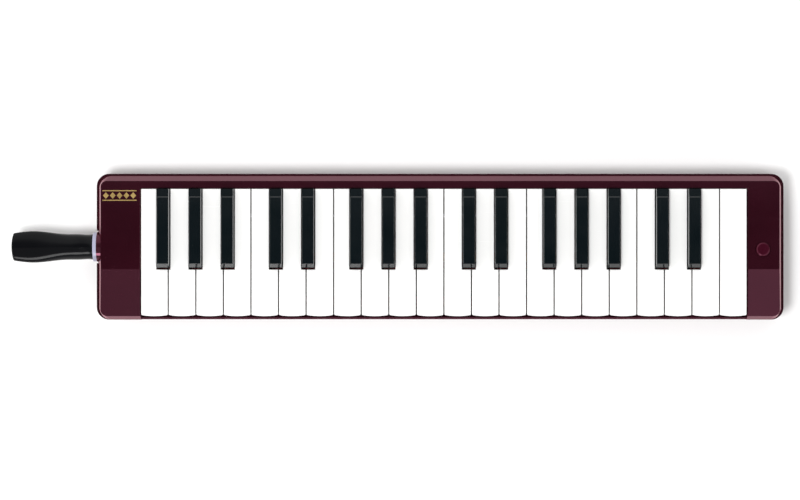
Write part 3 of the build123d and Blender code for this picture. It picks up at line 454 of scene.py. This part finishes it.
def squared(value):
    """A sine or cosine pushed out towards 1 or -1."""
    return math.copysign(abs(value) ** SECTION_POWER, value)


def webbing_body():
    """A closed ribbed band, its thickness waving from rib to rib and its selvedges rounded."""
    mesh = bmesh.new()
    count = round(STRAP_LENGTH / RIB_PITCH) * RIB_STEPS
    rings = []
    for station in range(count + 1):
        x = STRAP_LOW.x + STRAP_LENGTH * station / count
        rib = 0.5 - 0.5 * math.cos(2 * math.pi * station / RIB_STEPS)
        half_height = WEB_THICKNESS / 2 - RIB_DEPTH * (1 - rib)
        half_width = STRAP_HALF - SELVEDGE_WAVE * (1 - rib)
        ring = []
        for point in range(SECTION_POINTS):
            turn = 2 * math.pi * (point + 0.5) / SECTION_POINTS
            ring.append(mesh.verts.new((x, STRAP_MIDDLE.y + squared(math.cos(turn)) * half_width,
                                        strap_height(x) + squared(math.sin(turn)) * half_height)))
        rings.append(ring)
    close_rings(mesh, rings)
    smooth_outside(mesh)
    return mesh


def stitch(mesh, x, start):
    """A short loop of thread along Y that dips into the webbing at its ends."""
    face_z = strap_height(x) - WEB_THICKNESS / 2
    rings = []
    for step in range(STITCH_STEPS + 1):
        share = step / STITCH_STEPS
        z = face_z + STITCH_DIP - STITCH_RISE * math.sin(math.pi * share)
        ring = []
        for point in range(THREAD_POINTS):
            turn = 2 * math.pi * point / THREAD_POINTS
            ring.append(mesh.verts.new((x + THREAD_RADIUS * math.cos(turn), start + STITCH_LENGTH * share,
                                        z + THREAD_RADIUS * math.sin(turn))))
        rings.append(ring)
    close_rings(mesh, rings)


def stitches():
    """Two rows of stitches across each end of the strap."""
    mesh = bmesh.new()
    rows = [STRAP_LOW.x + SEAM_INSET, STRAP_LOW.x + SEAM_INSET + SEAM_PITCH, STRAP_HIGH.x - SEAM_INSET,
            STRAP_HIGH.x - SEAM_INSET - SEAM_PITCH]
    pitch = STITCH_LENGTH + STITCH_GAP
    count = int((2 * STRAP_HALF - SEAM_MARGINS) / pitch)
    for x in rows:
        for order in range(count):
            stitch(mesh, x, STRAP_MIDDLE.y + (order - count / 2) * pitch + STITCH_GAP / 2)
    smooth_outside(mesh)
    return mesh


def hand_strap():
    """Stitched webbing in place of the plain strap solid."""
    strap = piece_from("woven_hand_strap", webbing_body())
    dress(strap, "strap_fabric")
    thread = piece_from("strap_stitching", stitches())
    thread.data.materials.append(soft_stuff("strap_thread", (0.05, 0.05, 0.055), (0.09, 0.09, 0.10), 2600.0,
                                            0.00003, 0.3))
    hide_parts("hand_strap")


hand_strap()


# ---------------------------------------------------------------- camera, floor and light
def camera():
    """The camera looks straight down. Its shift only centres the picture on the object."""
    data = bpy.data.cameras.new("camera")
    data.sensor_width = SENSOR
    data.lens = SENSOR * (CAMERA_PLACE[2] - CASE_TOP) / VIEW_WIDTH
    data.shift_x = (VIEW_CENTRE[0] - CAMERA_PLACE[0]) / VIEW_WIDTH
    data.shift_y = (VIEW_CENTRE[1] - CAMERA_PLACE[1]) / VIEW_WIDTH
    data.clip_end = VIEW_DEPTH
    obj = bpy.data.objects.new("camera", data)
    obj.location = CAMERA_PLACE
    bpy.context.scene.collection.objects.link(obj)
    bpy.context.scene.camera = obj


def floor():
    """Matt white paper that reaches far beyond the picture, just under the object."""
    mesh = bmesh.new()
    bmesh.ops.create_grid(mesh, x_segments=8, y_segments=8, size=FLOOR_REACH)
    obj = object_from("floor", mesh)
    obj.location.z = -FLOOR_DROP
    material, tree, shader, place = new_material("floor_paper")
    paper = mix(tree, noise(tree, place, PAPER_SCALE, 3.0), (0.88, 0.88, 0.88), (0.90, 0.90, 0.90))
    tree.links.new(paper, shader.inputs["Base Color"])
    shader.inputs["Roughness"].default_value = 0.9
    shader.inputs["Specular IOR Level"].default_value = 0.1
    obj.data.materials.append(material)


def room():
    """A pale room: bright near the front horizon, dark overhead, with a paler ceiling in front and behind."""
    world = bpy.data.worlds.new("studio")
    bpy.context.scene.world = world
    world.use_nodes = True
    tree = world.node_tree
    split = tree.nodes.new("ShaderNodeSeparateXYZ")
    tree.links.new(tree.nodes.new("ShaderNodeTexCoord").outputs["Generated"], split.inputs[0])
    across, ahead, up = split.outputs
    lean = math_node(tree, "ADD", math_node(tree, "MULTIPLY", ahead, REAR_LEAN),
                     math_node(tree, "MULTIPLY", across, RIGHT_LEAN))
    walls = math_node(tree, "MULTIPLY", remap(tree, up, *CEILING_HEIGHTS, ROOM_LIGHT, CEILING_LIGHT),
                      math_node(tree, "ADD", lean, 1.0))
    glow = math_node(tree, "MULTIPLY", remap(tree, up, *HORIZON_HEIGHTS, HORIZON_LIGHT, 0.0),
                     remap(tree, ahead, *HORIZON_EDGES, 1.0, 0.0))
    front = math_node(tree, "MULTIPLY", remap(tree, across, *FRONT_CEILING_SIDES, *FRONT_CEILING),
                      remap(tree, ahead, *FRONT_CEILING_EDGES, 1.0, 0.0))
    rear = remap(tree, ahead, *REAR_CEILING_EDGES, 0.0, REAR_CEILING)
    ceiling = math_node(tree, "MAXIMUM", front, rear)
    strength = math_node(tree, "MAXIMUM", math_node(tree, "ADD", walls, glow), ceiling)
    background = tree.nodes["Background"]
    background.inputs["Color"].default_value = (*ROOM_COLOUR, 1.0)
    tree.links.new(strength, background.inputs["Strength"])
    bpy.context.scene.view_settings.view_transform = "Standard"


def area_light(name, place, watts, width, length):
    """A soft light that faces the middle of the object."""
    data = bpy.data.lights.new(name, "AREA")
    data.shape = "ELLIPSE"
    data.size = width
    data.size_y = length
    data.energy = watts
    obj = bpy.data.objects.new(name, data)
    obj.location = place
    obj.rotation_euler = (-Vector(place)).to_track_quat("-Z", "Y").to_euler()
    bpy.context.scene.collection.objects.link(obj)
    return obj


def lights():
    """The lamp lights the surfaces but isn't reflected in them. The panel is only seen in reflections."""
    lamp = area_light("lamp", LAMP_PLACE, LAMP_WATTS, LAMP_SIZE, LAMP_SIZE)
    lamp.visible_glossy = False
    reach = PANEL_DISTANCE * math.sin(PANEL_ZENITH)
    panel_place = (reach * math.cos(PANEL_AZIMUTH), reach * math.sin(PANEL_AZIMUTH),
                   PANEL_DISTANCE * math.cos(PANEL_ZENITH))
    panel = area_light("front_panel", panel_place, PANEL_WATTS, *PANEL_SIZE)
    panel.visible_diffuse = False


camera()
floor()
room()
lights()
